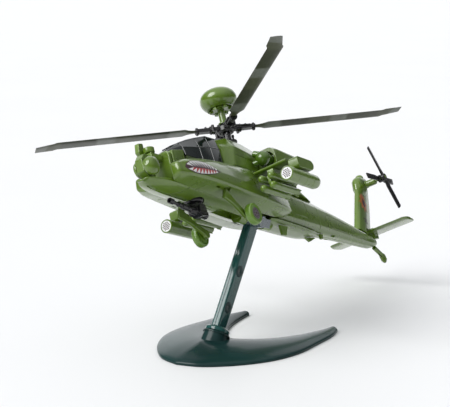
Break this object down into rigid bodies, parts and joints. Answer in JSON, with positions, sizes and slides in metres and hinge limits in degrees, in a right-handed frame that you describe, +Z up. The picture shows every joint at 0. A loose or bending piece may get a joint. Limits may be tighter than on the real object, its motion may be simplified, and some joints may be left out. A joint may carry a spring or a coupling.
{
  "type": "toy helicopter",
  "caption": "Snap-together toy attack helicopter on a tilting display stand, with spinning main and tail rotors, wheels, a mast dome, stub wings with stores, and a swivelling chin gun.",
  "frame": {"origin": "on the table under the stand's socket, at the underside of the horseshoe base", "axes": "+X the way the helicopter's nose points, seen from above; +Y to its port side; +Z up"},
  "size_m": [0.2191, 0.1185, 0.1344],
  "materials": {
    "green_plastic": "moulded, semi-gloss",
    "inner_brick": "moulded, satin",
    "gearbox_green": "moulded, semi-gloss",
    "wheel_plastic": "moulded, semi-gloss, printed hub disc",
    "stand_plastic": "polished, dark and translucent",
    "knuckle_plastic": "polished, smoky",
    "canopy_plastic": "polished, dark and translucent",
    "black_plastic": "moulded, glossy",
    "blade_plastic": "satin, printed patches"
  },
  "bodies": {
    "stand": {"stand_base": "stand_plastic", "stand_arm_left": "stand_plastic", "stand_arm_right": "stand_plastic"},
    "knuckle": {"stand_knuckle": "knuckle_plastic"},
    "main_rotor": {"rotor_hub": "black_plastic", "blade_1": "blade_plastic", "blade_2": "blade_plastic", "blade_3": "blade_plastic", "blade_4": "blade_plastic"},
    "radar": {"radar_stem": "green_plastic", "radar_dome": "green_plastic"},
    "tail_rotor": {"tail_blades_outer": "black_plastic", "tail_blades_inner": "black_plastic"},
    "gun": {"gun": "black_plastic"},
    "wheel_left": {"wheel_left": "wheel_plastic"},
    "wheel_right": {"wheel_right": "wheel_plastic"},
    "helicopter": {"core_front": "inner_brick", "core_middle": "inner_brick", "keel": "green_plastic", "rear_belly": "green_plastic", "nose_block": "green_plastic", "nose_plate": "green_plastic", "cheek_left": "green_plastic", "cheek_right": "green_plastic", "canopy": "canopy_plastic", "upper_deck_left": "green_plastic", "upper_deck_right": "green_plastic", "rear_deck": "green_plastic", "tail_boom_left": "green_plastic", "tail_boom_right": "green_plastic", "fin": "green_plastic", "stabilator": "green_plastic", "tail_leg": "green_plastic", "tail_shaft": "green_plastic", "sensor_block": "green_plastic", "night_sight": "green_plastic", "sensor_drum_left": "green_plastic", "sensor_drum_right": "green_plastic", "engine_left": "green_plastic", "engine_right": "green_plastic", "gearbox_left": "gearbox_green", "gearbox_right": "gearbox_green", "wing_left": "green_plastic", "wing_right": "green_plastic", "outer_pylon_left": "green_plastic", "outer_pylon_right": "green_plastic", "inner_pylon_left": "green_plastic", "inner_pylon_right": "green_plastic", "rocket_pod_left": "green_plastic", "rocket_pod_right": "green_plastic", "missiles_left": "green_plastic", "missiles_right": "green_plastic", "gear_leg_left": "green_plastic", "gear_leg_right": "green_plastic", "gun_ring": "black_plastic", "antenna_front": "green_plastic", "antenna_rear": "green_plastic", "belly_fin": "green_plastic", "mast": "black_plastic"}
  },
  "joints": [
    {"name": "stand_pitch", "type": "hinge", "parent": "stand", "child": "knuckle", "pos_m": [-0.02789, -0.00063, 0.0519], "axis": [-0.0227, 0.9997, 0], "range_deg": [-5, 15]},
    {"name": "stand_roll", "type": "hinge", "parent": "knuckle", "child": "helicopter", "pos_m": [-0.02789, -0.00063, 0.0519], "axis": [0.9576, 0.0217, 0.2874], "range_deg": [-56, 4]},
    {"name": "main_rotor_spin", "type": "hinge", "parent": "helicopter", "child": "main_rotor", "pos_m": [-0.03482, -0.02032, 0.09039], "axis": [-0.2467, -0.4535, 0.8564], "continuous": true},
    {"name": "radar_spin", "type": "hinge", "parent": "helicopter", "child": "radar", "pos_m": [-0.03482, -0.02032, 0.09039], "axis": [-0.2467, -0.4535, 0.8564], "continuous": true},
    {"name": "tail_rotor_spin", "type": "hinge", "parent": "helicopter", "child": "tail_rotor", "pos_m": [-0.15851, -0.00984, 0.05459], "axis": [-0.1489, 0.891, 0.4289], "continuous": true},
    {"name": "gun_swivel", "type": "hinge", "parent": "helicopter", "child": "gun", "pos_m": [0.01442, -0.00039, 0.06609], "axis": [-0.2467, -0.4535, 0.8564], "range_deg": [-80, 80]},
    {"name": "wheel_left_spin", "type": "hinge", "parent": "helicopter", "child": "wheel_left", "pos_m": [-0.00663, 0.01483, 0.05956], "axis": [-0.1489, 0.891, 0.4289], "continuous": true},
    {"name": "wheel_right_spin", "type": "hinge", "parent": "helicopter", "child": "wheel_right", "pos_m": [-0.00249, -0.00994, 0.04764], "axis": [-0.1489, 0.891, 0.4289], "continuous": true}
  ]
}
